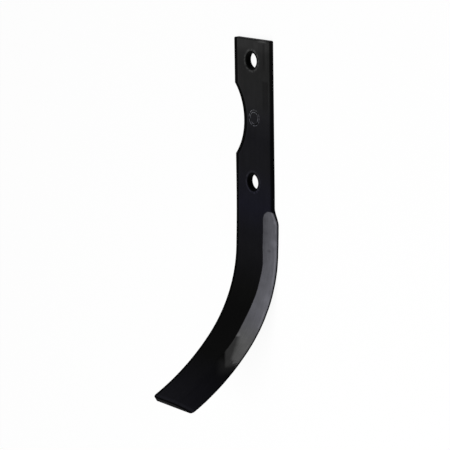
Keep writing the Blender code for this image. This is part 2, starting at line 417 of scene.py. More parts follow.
@dataclass(frozen=True)
class Bevel:
    """Forged bevel along the cutting edge, with a rounded upper end and the metal it spreads."""

    blank: Blank
    roll: Roll
    from_hole: float = 17.2
    end_radius: float = 6.0
    width: float = 12.0
    extra_width: float = 2.7
    wall_slope: float = 1.4
    land: float = 1.3
    spread: float = 4.0
    spread_lead: float = 2.2
    spread_length: float = 12.0
    widening_from_bend: float = 18.0
    widening_length: float = 34.0
    crisp_blend: float = 0.8
    soft_blend: float = 12.0
    softening_from_bend: float = 50.0
    hammer_depth: float = 0.045
    hammer_fade: float = 2.0
    broad_blows: Ripple = Ripple(17.0, 0.6)
    broad_share: float = 0.7
    fine_blows: Ripple = Ripple(6.5, 2.1)
    fine_share: float = 0.3
    edge_wander: float = 0.10
    edge_waves: Ripple = Ripple(11.0, 1.3)

    @property
    def start(self) -> float:
        """Place of the rounded end's top."""
        return self.blank.lower_hole + self.from_hole

    @property
    def end_centre(self) -> float:
        """Place of the rounded end's centre."""
        return self.start + self.end_radius

    @property
    def spread_start(self) -> float:
        """Place where the cutting edge starts to spread outward."""
        return self.start - self.spread_lead

    def cutting_edge(self, along: np.ndarray) -> np.ndarray:
        """Across position of the cutting edge."""
        spread = self.spread * smooth_step(self.spread_start, self.spread_length, along)
        return self.blank.swept(self.blank.width / 2 + spread, along)

    def run(self, along: np.ndarray) -> np.ndarray:
        """Width of the bevel at each place."""
        start = self.roll.start + self.widening_from_bend
        return self.width + self.extra_width * smooth_step(start, self.widening_length, along)

    def line(self, along: np.ndarray) -> np.ndarray:
        """Across position of the bevel's inner line."""
        return self.blank.swept(self.blank.width / 2 + self.spread - self.run(along), along)

    def blend(self, along: np.ndarray) -> np.ndarray:
        """Find the width over which the inner line is rounded.

        Args:
            along: Places down the length.

        Returns:
            Width at each place.
        """
        start = self.roll.start + self.softening_from_bend
        softening = smooth_step(start, self.roll.length - start, along)
        return self.crisp_blend + (self.soft_blend - self.crisp_blend) * softening

    def inside(self, across: np.ndarray, along: np.ndarray) -> np.ndarray:
        """Measure how far inside the bevel's outline points are.

        Args:
            across: Places over the width.
            along: Places down the length.

        Returns:
            Distance of each point to the outline, negative outside it.
        """
        past_line = across - self.line(along)
        to_centre = self.end_centre - along
        short_of_arc = np.minimum(past_line - self.end_radius, 0.0)
        in_round = self.end_radius - np.hypot(short_of_arc, to_centre)
        return np.where(to_centre <= 0.0, past_line, np.minimum(past_line, in_round))

    def sink(self, across: np.ndarray, along: np.ndarray) -> np.ndarray:
        """Find the depth of the front surface.

        Args:
            across: Places over the width.
            along: Places down the length.

        Returns:
            Depth at each point: 0 on the flat face, sinking over the bevel.
        """
        blend = self.blend(along)
        slope = (self.blank.thickness - self.land) / self.run(along)
        sloped = slope * hinge(across - self.line(along), blend)
        wall = self.wall_slope * hinge(self.inside(across, along), blend)
        return np.where(along >= self.end_centre, sloped, np.minimum(sloped, wall))

    def hammering(self, across: np.ndarray, along: np.ndarray) -> np.ndarray:
        """Work out the shallow unevenness that the forging leaves on the bevel.

        Args:
            across: Places over the width.
            along: Places down the length.

        Returns:
            How much deeper the front surface is at each point.
        """
        forged = np.clip(self.inside(across, along) / self.hammer_fade, 0.0, 1.0)
        blows = (self.broad_share * self.broad_blows.height(across, along)
                 + self.fine_share * self.fine_blows.height(across, along))
        return self.hammer_depth * forged * blows

    def wander(self, across: np.ndarray, along: np.ndarray) -> np.ndarray:
        """Work out the sideways unevenness of the forged cutting edge.

        Args:
            across: Places over the width.
            along: Places down the length.

        Returns:
            How far each point is moved outward.
        """
        reached = smooth_step(self.spread_start, self.spread_length, along)
        share = np.clip((across - self.line(along)) / self.run(along), 0.0, 1.0)
        waves = self.edge_waves.height(np.zeros_like(along), along)
        return self.edge_wander * reached * share * share * waves


class Centre(Enum):
    """What a round feature has at its centre."""

    BORE = "bore"
    FLOOR = "floor"


@dataclass(frozen=True)
class RoundFeature:
    """Round feature that sits in a window of the face's grid.

    A profile lists (radius, depth) steps from a face inward. A bore has one on the back too.
    """

    across: float
    along: float
    half_window: float
    profile: tuple[tuple[float, float], ...]
    centre: Centre
    back_profile: tuple[tuple[float, float], ...] = ()


@dataclass
class Blade:
    """The whole blade as one fine mesh.

    It is closed but for a speck at each corner of the tip's end face, because its last section
    comes a hundredth of a millimetre short of the tip, where the edges' rounding isn't yet flat.
    """

    blank: Blank = field(default_factory=Blank)
    corner_steps: int = 5
    side_steps: int = 4
    end_steps: int = 8
    plain_columns: int = 10
    window_columns: int = 20
    crease_columns: int = 6
    bevel_columns: int = 36
    window_half: float = 8.6
    support: float = 0.15
    row_step: float = 0.85
    fine_step: float = 0.25
    fine_before: float = 0.5
    fine_past: float = 3.0
    ring_steps: int = 6
    bore_steps: int = 5
    rim_round: float = 0.15
    lip_steps: int = 6
    lip_width: float = 1.2
    lip_height: float = 0.06
    paint: float = 0.06
    smallest_gap: float = 0.02
    weld: float = 1e-6
    stamp_across: float = 1.9
    stamp_along: float = 51.3
    stamp_radius: float = 4.5
    stamp_groove: float = 1.1
    stamp_depth: float = 0.40
    stamp_window: float = 6.2
    groove_steps: int = 8
    floor_shares: tuple[float, ...] = (1.0, 0.75, 0.5, 0.25)

    def __post_init__(self) -> None:
        """Make the forms that depend on the blank."""
        self.roll = Roll(self.blank)
        self.notch = Notch(self.blank)
        self.bevel = Bevel(self.blank, self.roll)
        self.points: list[np.ndarray] = []
        self.faces: list[tuple[int, ...]] = []
        self.count = 0

    def add_points(self, across: np.ndarray, along: np.ndarray, depth: np.ndarray) -> np.ndarray:
        """Add points of the flat blank.

        Args:
            across: Places over the width.
            along: Places down the length.
            depth: Depths under the front face.

        Returns:
            Numbers of the new points, in the shape of the arrays given.
        """
        across, along, depth = np.broadcast_arrays(across, along, depth)
        self.points.append(np.column_stack((across.ravel(), along.ravel(), depth.ravel())))
        numbers = np.arange(self.count, self.count + across.size).reshape(across.shape)
        self.count += across.size
        return numbers

    def add_quads(self, grid: np.ndarray, keep: np.ndarray | None = None) -> None:
        """Join a grid of points with quads.

        Args:
            grid: Point numbers.
            keep: Which quads to add, or None for all of them.
        """
        quads = np.stack((grid[:-1, :-1], grid[:-1, 1:], grid[1:, 1:], grid[1:, :-1]), axis=-1)
        chosen = quads.reshape(-1, 4) if keep is None else quads[keep]
        self.faces.extend(tuple(quad) for quad in chosen.tolist())

    def rows(self) -> np.ndarray:
        """Choose where along the strip it has a section, closer together where it curves.

        Returns:
            Sorted places down the length.
        """
        length = self.roll.length
        shares = [1.0 - math.cos(math.pi / 2 * index / self.end_steps)
                  for index in range(self.end_steps + 1)]
        wanted = [length]
        for radius in (self.blank.edge_round, self.blank.top_corner):
            wanted.extend(radius * share for share in shares)
        for radius in (self.blank.edge_round, self.blank.tip_corner):
            wanted.extend(length - radius * share for share in shares)
        window_step = 2 * self.window_half / self.window_columns
        upper_hole = self.blank.hole_from_top
        lower_hole = self.blank.lower_hole
        notch_reach = self.notch.mouth_reach
        fine_start = self.bevel.spread_start - self.fine_before
        fine_end = self.bevel.spread_start + self.bevel.spread_length + self.fine_past
        stretches = [
            (self.blank.top_corner, upper_hole - self.window_half, self.row_step),
            (upper_hole - self.window_half, upper_hole + self.window_half, window_step),
            (upper_hole + self.window_half, self.notch.from_top - notch_reach, self.row_step),
            (self.notch.from_top + notch_reach, lower_hole - self.window_half, self.row_step),
            (lower_hole - self.window_half, lower_hole + self.window_half, window_step),
            (lower_hole + self.window_half, fine_start, self.row_step),
            (fine_start, fine_end, self.fine_step),
            (fine_end, self.roll.start, self.row_step),
            (self.roll.start, self.roll.ease_start, self.row_step),
            (self.roll.ease_start, length - self.blank.tip_corner, self.row_step),
        ]
        for start, end, step in stretches:
            wanted.extend(evenly(start, end, step))
        wanted.extend(self.notch.rows())
        places = [0.0]
        for place in sorted(wanted):
            if place - places[-1] > self.smallest_gap:
                places.append(place)
        return np.array(places)

    def columns(self, along: np.ndarray, face_inset: np.ndarray) -> np.ndarray:
        """Across positions of the face's columns, one row for each section.

        Args:
            along: Places of the sections.
            face_inset: How far the rounded edges reach into the face at each section.

        Returns:
            Across positions, from the plain edge to the cutting edge.
        """
        left = self.notch.plain_edge(along) + face_inset
        right = self.bevel.cutting_edge(along) - face_inset
        line = self.bevel.line(along)
        half_blend = self.bevel.blend(along) / 2
        inner = line - half_blend
        outer = line + half_blend
        plain_left = self.blank.edge_round + self.support - self.blank.width / 2
        window_share = (-self.window_half - plain_left) / (self.window_half - plain_left)
        shares = np.concatenate((
            np.linspace(0.0, window_share, self.plain_columns, endpoint=False),
            np.linspace(window_share, 1.0, self.window_columns + 1),
        ))
        start = left + self.support
        plain = start[:, None] + (inner - start)[:, None] * shares
        crease_shares = np.linspace(0.0, 1.0, self.crease_columns + 1)[1:]
        crease = inner[:, None] + (outer - inner)[:, None] * crease_shares
        floor_shares = np.linspace(0.0, 1.0, self.bevel_columns + 1)[1:]
        floor_end = right - self.support
        floor = outer[:, None] + (floor_end - outer)[:, None] * floor_shares
        return np.column_stack((left, plain, crease, floor, right))

    def edge_rounding(self, along: np.ndarray) -> tuple[np.ndarray, np.ndarray]:
        """Insets and depths of the rounded edges, from the side of the strip to its face.

        Args:
            along: Places of the sections.

        Returns:
            Insets and depths, one row for each section.
        """
        edge = self.blank.edge_round
        to_top = along
        to_tip = self.roll.length - along
        to_end = np.minimum(to_top, to_tip)
        corner = np.where(to_top < to_tip, self.blank.top_corner, self.blank.tip_corner)
        turned = np.arccos(np.clip(1.0 - to_end / edge, -1.0, 1.0))
        widest = np.where(to_end < edge, turned, math.pi / 2)
        turn = widest[:, None] * np.linspace(0.0, 1.0, self.corner_steps + 1)
        inset = edge * (1.0 - np.cos(turn))
        sink = edge * (1.0 - np.sin(turn))
        beside = (corner[:, None] - inset) ** 2 - ((corner - to_end) ** 2)[:, None]
        rounded = corner[:, None] - np.sqrt(np.maximum(beside, 0.0))
        return np.where((to_end < corner)[:, None], rounded, inset), sink

    def build_shell(self) -> None:
        """Loft the strip's sections and fill its two ends."""
        along = self.rows()
        inset, sink = self.edge_rounding(along)
        columns = self.columns(along, inset[:, -1])
        left = self.notch.plain_edge(along)[:, None]
        right = self.bevel.cutting_edge(along)[:, None]
        front = self.bevel.sink(columns, along[:, None]) + sink[:, -1:]
        back = np.full_like(columns, self.blank.thickness) - sink[:, -1:]
        place = along[:, None]
        front_left = left + inset[:, :-1]
        front_right = right - inset[:, :-1]
        right_depth = self.bevel.sink(front_right, place) + sink[:, :-1]
        back_rim = self.blank.thickness - sink[:, :-1]
        side_shares = np.linspace(0.0, 1.0, self.side_steps + 1)[1:-1]
        left_side = sink[:, :1] + (back_rim[:, :1] - sink[:, :1]) * side_shares
        right_side = right_depth[:, :1] + (back_rim[:, :1] - right_depth[:, :1]) * side_shares
        self.along = along
        self.front = self.add_points(columns, place, front)
        self.back = self.add_points(columns, place, back)
        rim_front_left = self.add_points(front_left, place, sink[:, :-1])
        rim_front_right = self.add_points(front_right, place, right_depth)
        rim_back_left = self.add_points(front_left, place, back_rim)
        rim_back_right = self.add_points(front_right, place, back_rim)
        side_left = self.add_points(left + inset[:, :1], place, left_side)
        side_right = self.add_points(right - inset[:, :1], place, right_side)
        self.column_places = columns
        right_band = np.column_stack((
            self.front[:, -1:], rim_front_right[:, ::-1], side_right, rim_back_right,
            self.back[:, -1:]))
        left_band = np.column_stack((
            self.front[:, :1], rim_front_left[:, ::-1], side_left, rim_back_left,
            self.back[:, :1]))
        self.add_quads(right_band)
        self.add_quads(left_band)
        for row in (0, -1):
            self.close_end(row, side_left, side_right)

    def close_end(self, row: int, side_left: np.ndarray, side_right: np.ndarray) -> None:
        """Fill one end of the strip with a grid between its front and its back.

        Args:
            row: Number of the end's section, 0 or -1.
            side_left: Point numbers on the plain side.
            side_right: Point numbers on the cutting side.
        """
        points = np.concatenate(self.points)
        front = self.front[row]
        back = self.back[row]
        inner_front = points[front[1:-1]]
        inner_back = points[back[1:-1]]
        levels = [front]
        for step in range(1, self.side_steps):
            share = step / self.side_steps
            between = inner_front + (inner_back - inner_front) * share
            inner = self.add_points(between[:, 0], between[:, 1], between[:, 2])
            levels.append(np.concatenate((
                [side_left[row, step - 1]], inner, [side_right[row, step - 1]])))
        levels.append(back)
        self.add_quads(np.array(levels))

    def rolled_rim(self) -> list[tuple[float, float]]:
        """Draw the rounding between a face and a bore.

        Returns:
            Profile of (radius, depth) steps, from the face inward.
        """
        bore = self.blank.hole_radius - self.paint
        steps = range(self.corner_steps + 1)
        turns = [math.pi / 2 * index / self.corner_steps for index in steps]
        return [(bore + self.rim_round * (1.0 - math.sin(turn)),
                 self.rim_round * (1.0 - math.cos(turn))) for turn in turns]

    def lipped_rim(self) -> list[tuple[float, float]]:
        """Draw the slightly raised lip round a bore, and the rounding inside it.

        Returns:
            Profile of (radius, depth) steps, from the face inward.
        """
        top = self.blank.hole_radius - self.paint + self.rim_round
        shares = [index / self.lip_steps for index in range(self.lip_steps)]
        lip = [(top + self.lip_width * (1.0 - share), -self.lip_height * share * share)
               for share in shares]
        return lip + [(radius, depth - self.lip_height) for radius, depth in self.rolled_rim()]

    def punched_ring(self) -> list[tuple[float, float]]:
        """Draw the groove of the punched ring, and the flat that it goes round.

        Returns:
            Profile of (radius, depth) steps, from outside inward.
        """
        outer = self.stamp_radius + self.stamp_groove / 2 + self.support
        inner = self.stamp_radius - self.stamp_groove / 2 - self.support
        shares = [index / self.groove_steps for index in range(self.groove_steps + 1)]
        groove = [(self.stamp_radius + self.stamp_groove * (0.5 - share),
                   self.stamp_depth * math.sin(math.pi * share) ** 2) for share in shares]
        return [(outer, 0.0), *groove, *((inner * share, 0.0) for share in self.floor_shares)]

    def round_features(self) -> list[RoundFeature]:
        """List the two bolt holes and the plain punched ring between them.

        Returns:
            The round features, the ring last.
        """
        front = tuple(self.lipped_rim())
        back = tuple(self.rolled_rim())
        holes = [RoundFeature(0.0, place, self.window_half, front, Centre.BORE, back)
                 for place in (self.blank.hole_from_top, self.blank.lower_hole)]
        ring = RoundFeature(self.stamp_across, self.stamp_along, self.stamp_window,
                            tuple(self.punched_ring()), Centre.FLOOR)
        return [*holes, ring]

    def window(self, feature: RoundFeature) -> tuple[int, int, int, int]:
        """Find the window of the grid that a round feature sits in.

        Args:
            feature: The round feature.

        Returns:
            First and last column and row.
        """
        places = self.column_places[nearest(self.along, feature.along)]
        reach = feature.half_window
        return (nearest(places, feature.across - reach), nearest(places, feature.across + reach),
                nearest(self.along, feature.along - reach),
                nearest(self.along, feature.along + reach))

    @staticmethod
    def border(grid: np.ndarray, window: tuple[int, int, int, int]) -> tuple[np.ndarray, ...]:
        """Go round a window, and give each point an angle round the feature.

        Args:
            grid: Point numbers of the face.
            window: First and last column and row.

        Returns:
            Point numbers and angles, in order.
        """
        column_0, column_1, row_0, row_1 = window
        sides = [
            grid[row_0, column_0:column_1],
            grid[row_0:row_1, column_1],
            grid[row_1, column_1:column_0:-1],
            grid[row_1:row_0:-1, column_0],
        ]
        quarter = math.pi / 2
        first_corner = -1.5 * quarter
        angles = [first_corner + quarter * (number + np.arange(len(side)) / len(side))
                  for number, side in enumerate(sides)]
        return np.concatenate(sides), np.concatenate(angles)

    def ring(self, feature: RoundFeature, angles: np.ndarray, radius: float,
             depth: float) -> np.ndarray:
        """Add a circle of points round a feature's centre.

        Args:
            feature: The round feature.
            angles: Angle of each point.
            radius: Radius of the circle.
            depth: Its depth under the front face.

        Returns:
            Numbers of the new points.
        """
        across = feature.across + radius * np.cos(angles)
        along = feature.along + radius * np.sin(angles)
        return self.add_points(across, along, np.full_like(angles, depth))

    def funnel(self, feature: RoundFeature, grid: np.ndarray, window: tuple[int, int, int, int],
               from_back: bool) -> list[np.ndarray]:
        """Add rings from a window's border to the inner end of the feature's profile.

        Args:
            feature: The round feature.
            grid: Point numbers of the face that it is on.
            window: First and last column and row.
            from_back: Whether the face is the back one.

        Returns:
            Point numbers of each ring, from the border inward.
        """
        border, angles = self.border(grid, window)
        points = np.concatenate(self.points)[border]
        profile = feature.back_profile if from_back else feature.profile
        radius, _ = profile[0]
        circle = np.column_stack((feature.across + radius * np.cos(angles),
                                  feature.along + radius * np.sin(angles), points[:, 2]))
        rings = [border]
        for step in range(1, self.ring_steps):
            between = points + (circle - points) * (step / self.ring_steps)
            rings.append(self.add_points(between[:, 0], between[:, 1], between[:, 2]))
        for radius, depth in profile:
            level = self.blank.thickness - depth if from_back else depth
            rings.append(self.ring(feature, angles, radius, level))
        return rings

    def build_faces(self) -> None:
        """Join the front and back faces, with their round features set in."""
        keep_front = np.ones((self.front.shape[0] - 1, self.front.shape[1] - 1), dtype=bool)
        keep_back = keep_front.copy()
        for feature in self.round_features():
            window = self.window(feature)
            column_0, column_1, row_0, row_1 = window
            keep_front[row_0:row_1, column_0:column_1] = False
            rings = self.funnel(feature, self.front, window, from_back=False)
            if feature.centre is Centre.BORE:
                keep_back[row_0:row_1, column_0:column_1] = False
                far_rings = self.funnel(feature, self.back, window, from_back=True)
                rings.extend(self.bore_rings(feature, window))
                rings.extend(reversed(far_rings))
            closed = np.array([np.append(ring, ring[0]) for ring in rings])
            self.add_quads(closed)
            if feature.centre is Centre.FLOOR:
                self.close_floor(feature, rings[-1])
        self.add_quads(self.front, keep_front)
        self.add_quads(self.back, keep_back)

    def bore_rings(self, feature: RoundFeature, window: tuple[int, int, int, int]
                   ) -> list[np.ndarray]:
        """Add rings down the wall of a bore, between its two rounded rims.

        Args:
            feature: The bolt hole.
            window: First and last column and row of its window.

        Returns:
            Point numbers of each ring, from the front to the back.
        """
        _, angles = self.border(self.front, window)
        radius, top = feature.profile[-1]
        run = self.blank.thickness - top - feature.back_profile[-1][1]
        return [self.ring(feature, angles, radius, top + run * step / self.bore_steps)
                for step in range(1, self.bore_steps)]

    def close_floor(self, feature: RoundFeature, ring: np.ndarray) -> None:
        """Close the innermost ring of a shallow feature with a fan.

        Args:
            feature: The round feature.
            ring: Point numbers of its innermost ring.
        """
        centre = self.add_points(np.array([feature.across]), np.array([feature.along]),
                                 np.array([0.0]))[0]
        following = np.roll(ring, -1)
        self.faces.extend((int(a), int(b), int(centre)) for a, b in zip(ring, following))

    def rim_distance(self, across: np.ndarray, along: np.ndarray, depth: np.ndarray
                     ) -> np.ndarray:
        """Measure how far points are from the edges between the faces and the sides.

        Args:
            across: Places over the width.
            along: Places down the length.
            depth: Depths under the front face.

        Returns:
            Distance of each point to the nearest of those edges.
        """
        outlines = [
            across - self.notch.plain_edge(along),
            self.bevel.cutting_edge(along) - across,
            along,
            self.roll.length - along,
        ]
        to_outline = np.min(np.abs(outlines), axis=0)
        from_front = np.abs(depth - self.bevel.sink(across, along))
        to_face = np.minimum(from_front, np.abs(self.blank.thickness - depth))
        return np.hypot(to_outline, to_face)

    def bore_distance(self, across: np.ndarray, along: np.ndarray) -> np.ndarray:
        """Measure how far points are from the bolt holes.

        Args:
            across: Places over the width.
            along: Places down the length.

        Returns:
            Distance of each point to the nearest hole's wall.
        """
        to_holes = [np.hypot(across, along - place)
                    for place in (self.blank.hole_from_top, self.blank.lower_hole)]
        return np.min(to_holes, axis=0) - self.blank.hole_radius

    def carried(self, across: np.ndarray, along: np.ndarray, depth: np.ndarray,
                frontness: np.ndarray) -> dict[str, np.ndarray]:
        """Work out the values that the mesh carries for its finish.

        Args:
            across: Places over the width.
            along: Places down the length.
            depth: Depths under the front face.
            frontness: 1 on the front face and 0 on the back one.

        Returns:
            One value for each point, by the name that the finish reads.
        """
        from_stamp = np.hypot(across - self.stamp_across, along - self.stamp_along)
        return {
            "across": across - self.blank.swept(0.0, along),
            "along": along,
            "depth": depth,
            "front": frontness,
            "bevel": self.bevel.inside(across, along),
            "to_edge": self.bevel.cutting_edge(along) - across,
            "to_plain": across - self.notch.plain_edge(along),
            "rim": self.rim_distance(across, along, depth),
            "bore": self.bore_distance(across, along),
            "groove": np.abs(from_stamp - self.stamp_radius),
        }

    def make_piece(self) -> bpy.types.Object:
        """Build the mesh, with the values that its finish reads, as one object.

        Returns:
            The blade, not yet finished.
        """
        self.build_shell()
        self.build_faces()
        across, along, depth = np.concatenate(self.points).T
        front_depth = self.bevel.sink(across, along)
        frontness = (self.blank.thickness - depth) / (self.blank.thickness - front_depth)
        frontness = np.clip(frontness, 0.0, 1.0)
        hammered = depth + frontness * self.bevel.hammering(across, along)
        wandered = across + self.bevel.wander(across, along)
        places = self.roll.bend(wandered, along, hammered)
        mesh = bpy.data.meshes.new("blade")
        mesh.from_pydata(places.tolist(), [], self.faces)
        for name, values in self.carried(across, along, depth, frontness).items():
            layer = mesh.attributes.new(name, "FLOAT", "POINT")
            layer.data.foreach_set("value", values.astype(np.float32))
        self.clean(mesh)
        piece = bpy.data.objects.new("blade", mesh)
        bpy.context.collection.objects.link(piece)
        return piece

    def clean(self, mesh: bpy.types.Mesh) -> None:
        """Weld the mesh, drop the points that a window left loose, and turn its faces outward.

        Args:
            mesh: Mesh of the blade.
        """
        shape = bmesh.new()
        shape.from_mesh(mesh)
        bmesh.ops.remove_doubles(shape, verts=shape.verts[:], dist=self.weld)
        loose = [corner for corner in shape.verts if not corner.link_faces]
        bmesh.ops.delete(shape, geom=loose, context="VERTS")
        bmesh.ops.recalc_face_normals(shape, faces=shape.faces[:])
        shape.to_mesh(mesh)
        shape.free()
        mesh.shade_smooth()


class Skin:
    """Values that the blade's mesh carries at each point, for its finish to read."""

    def __init__(self, shop: NodeShop) -> None:
        """Read each value once.

        Args:
            shop: Shop of the finish that reads them.
        """
        self.shop = shop
        self.across = shop.attribute("across")
        self.along = shop.attribute("along")
        self.front = shop.attribute("front")
        self.bevel = shop.attribute("bevel")
        self.to_edge = shop.attribute("to_edge")
        self.to_plain = shop.attribute("to_plain")
        self.rim = shop.attribute("rim")
        self.bore = shop.attribute("bore")
        self.groove = shop.attribute("groove")
        self.where = shop.place(self.across, self.along, shop.attribute("depth"))


@dataclass(frozen=True)
class Fade:
    """Stretch over which a share goes smoothly from 0 to 1. It falls where its end comes first."""

    start: float
    end: float

    def share(self, value: Value) -> Value:
        """Share at a value."""
        return value.shop.rise(value, self.start, self.end)


@dataclass(frozen=True)
class Band:
    """Stretch with soft sides, over which a share rises to 1 and falls again."""

    rising: Fade
    falling: Fade

    def share(self, value: Value) -> Value:
        """Share at a value."""
        return self.rising.share(value) * self.falling.share(value)


@dataclass(frozen=True)
class Cloud:
    """Soft noise, with its scale per millimetre, its detail and the roughness of that detail."""

    scale: float
    detail: float = 2.0
    roughness: float = 0.5

    def share(self, skin: Skin) -> Value:
        """Noise between 0 and 1."""
        return skin.shop.noise(skin.where, self.scale, self.detail, self.roughness)

    def swing(self, skin: Skin, reach: float) -> Value:
        """Noise round 0, with its whole swing given."""
        return (self.share(skin) - 0.5) * reach


@dataclass(frozen=True)
class Brushing:
    """Noise drawn out down the length, with its scales over the width and down the length."""

    over_width: float
    down_length: float
    detail: float

    def share(self, skin: Skin) -> Value:
        """Noise between 0 and 1."""
        drawn = skin.shop.place(skin.across * self.over_width, skin.along * self.down_length, 0.0)
        return skin.shop.noise(drawn, 1.0, self.detail)


@dataclass(frozen=True)
class Slant:
    """Slanting line on the blank, through one place and with its lean down the length."""

    across: float
    along: float
    lean: float

    def past(self, skin: Skin) -> Value:
        """Distance past the line, over the width."""
        return skin.across - skin.along * self.lean + (self.along * self.lean - self.across)


@dataclass(frozen=True)
class Scuff:
    """Round patch that is lighter or darker than the surface round it."""

    across: float
    along: float
    reach: float
    change: float

    def shade(self, skin: Skin) -> Value:
        """Work out the patch's part of a shade.

        Args:
            skin: Values that the mesh carries.

        Returns:
            The patch's change at its middle, fading to 0 at its reach.
        """
        beside = skin.across - self.across
        below = skin.along - self.along
        distance = skin.shop.math("SQRT", beside * beside + below * below)
        return Fade(self.reach, 0.0).share(distance) * self.change


@dataclass(frozen=True)
class Streak:
    """Lengthwise mark in the paint, lighter or darker than the paint round it."""

    across: float
    half_width: float
    top: float
    bottom: float
    change: float
    soft_side: float = 0.8
    soft_top: float = 1.0
    fading_share: float = 0.4

    def shade(self, skin: Skin) -> Value:
        """Work out the streak's part of the paint's shade.

        Args:
            skin: Values that the mesh carries.

        Returns:
            The streak's change in its middle, fading to 0 at its sides and ends.
        """
        beside = skin.shop.math("ABSOLUTE", skin.across - self.across)
        sides = Fade(self.half_width, self.half_width - self.soft_side)
        fading = (self.bottom - self.top) * self.fading_share
        ends = Band(Fade(self.top - self.soft_top, self.top + self.soft_top),
                    Fade(self.bottom, self.bottom - fading))
        return sides.share(beside) * ends.share(skin.along) * self.change


def lifted(low: float, share: Value) -> Value:
    """Factor that goes from a low value to 1 as a share goes from 0 to 1."""
    return share * (1.0 - low) + low


@dataclass(frozen=True)
class PaintedEdgeShade:
    """Painted shade on the cut sides, along the plain edge and at the rims of the two ends."""

    length: float
    # Painted shade: these levels darken the paint on the sides, along the plain edge and at the
    # ends.
    side_level: float = 0.25
    front_face: Fade = Fade(0.55, 1.00)
    back_face: Fade = Fade(0.45, 0.00)
    plain_level: float = 0.05
    plain_line: Fade = Fade(2.35, 2.95)
    wider_above: Fade = Fade(100.0, 70.0)
    wider_by: float = 0.55
    # Painted highlight: a thin lighter line just inside the plain edge's dark band.
    lit_line: Band = Band(Fade(2.50, 3.00), Fade(4.10, 3.30))
    lit_change: float = 0.30
    top_level: float = 0.50
    top_line: Fade = Fade(0.30, 1.10)
    tip_level: float = 0.08
    tip_line: Fade = Fade(0.50, 1.30)

    def factor(self, skin: Skin) -> Value:
        """Work out the factor on the paint's colour.

        Args:
            skin: Values that the mesh carries.

        Returns:
            1 on the faces, a little more on a thin painted highlight beside the plain edge, and
            less where shade is painted on the edges.
        """
        faced = skin.shop.larger(self.front_face.share(skin.front),
                                 self.back_face.share(skin.front))
        to_plain = skin.to_plain - self.wider_above.share(skin.along) * self.wider_by
        plain = lifted(self.plain_level, self.plain_line.share(to_plain))
        plain = plain + self.lit_line.share(to_plain) * self.lit_change
        top = lifted(self.top_level, self.top_line.share(skin.along))
        tip = lifted(self.tip_level, self.tip_line.share(self.length - skin.along))
        return lifted(self.side_level, faced) * plain * top * tip


@dataclass(frozen=True)
class EndHighlights:
    """Painted highlight: paint made lighter just inside the rims of the two ends."""

    length: float
    unevenness: Cloud = Cloud(0.5, 3.0)
    swing: float = 1.4
    rim: Fade = Fade(2.2, 0.7)
    top: Fade = Fade(2.8, 1.5)
    top_width: Band = Band(Fade(4.0, 11.0), Fade(16.0, 12.5))
    top_change: float = 1.7
    tip: Fade = Fade(3.6, 2.2)
    tip_swing_share: float = 0.6
    tip_change: float = 0.8

    def change(self, skin: Skin) -> Value:
        """Work out what the painted highlight adds to the factor on the paint's colour.

        Args:
            skin: Values that the mesh carries.

        Returns:
            0 away from the ends, and more just inside their rims.
        """
        uneven = self.unevenness.swing(skin, self.swing)
        top = self.top.share(skin.along) * self.top_width.share(skin.across)
        # Painted highlight along the rims of the top end and the tip.
        lightened = self.rim.share(skin.rim + uneven)
        to_tip = self.length - skin.along - uneven * self.tip_swing_share
        return lightened * top * self.top_change + self.tip.share(to_tip) * self.tip_change


@dataclass(frozen=True)
class PunchedLightAndShade:
    """Painted highlights on the lips round the holes and the ring, and painted shade inside them."""

    patches: Cloud = Cloud(0.45)
    patchy: Fade = Fade(0.36, 0.60)
    # Painted highlights: lighter lips round the holes and the ring.
    hole_lip: Band = Band(Fade(0.9, 1.4), Fade(2.9, 1.9))
    hole_change: float = 1.6
    ring_lip: Band = Band(Fade(0.28, 0.52), Fade(1.10, 0.70))
    ring_change: float = 8.5
    # Painted shade on the floor of the ring's groove.
    groove_floor: Fade = Fade(0.42, 0.16)
    groove_change: float = 0.9
    # Painted shade on the bore walls and a narrow ring round each hole.
    bore_shade: Fade = Fade(1.2, 0.7)
    bore_shade_change: float = 0.85

    def factor(self, skin: Skin) -> Value:
        """Work out the factor on the paint's colour.

        Args:
            skin: Values that the mesh carries.

        Returns:
            1 away from the holes and the ring, more on their painted highlights and less in the
            painted shade inside them.
        """
        lips = (self.hole_lip.share(skin.bore) * self.hole_change
                + self.ring_lip.share(skin.groove) * self.ring_change)
        lightened = self.patchy.share(self.patches.share(skin)) * lips
        floor = self.groove_floor.share(skin.groove) * self.groove_change
        shaded_bores = self.bore_shade.share(skin.bore) * self.bore_shade_change
        return (1.0 + lightened - floor) * (1.0 - shaded_bores)


